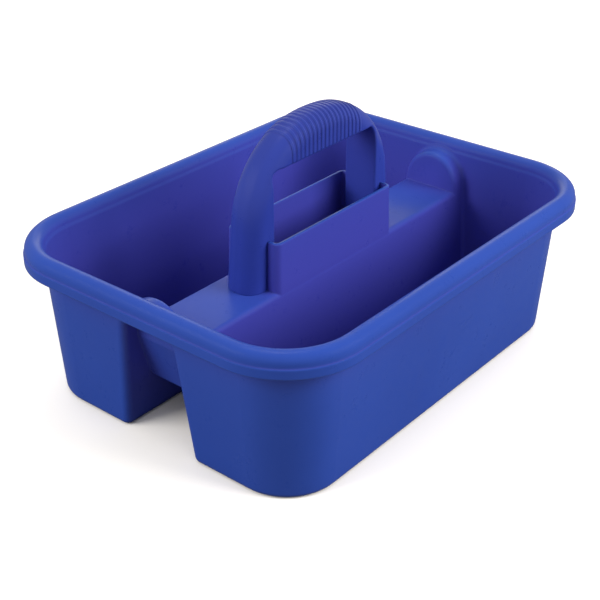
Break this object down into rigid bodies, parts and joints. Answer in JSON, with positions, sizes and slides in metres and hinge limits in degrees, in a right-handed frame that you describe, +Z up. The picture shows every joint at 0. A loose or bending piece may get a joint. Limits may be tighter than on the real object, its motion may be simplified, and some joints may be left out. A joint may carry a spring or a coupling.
{
  "type": "tool storage caddy",
  "caption": "Open moulded carry caddy with a trough either side of a raised saddle, a rolled rim, finger notches at the ends, and a ribbed arch handle over a small pocket.",
  "frame": {"origin": "on the ground, at the middle of the caddy's footprint", "axes": "+X along the handle and the troughs, +Y across the troughs, +Z up"},
  "size_m": [0.467, 0.355, 0.249],
  "materials": {
    "blue_plastic": "satin moulded, fine grain",
    "screw_steel": "zinc plated"
  },
  "bodies": {
    "root": {"tub": "blue_plastic", "handle": "blue_plastic", "handle_screws": "screw_steel"}
  },
  "joints": []
}
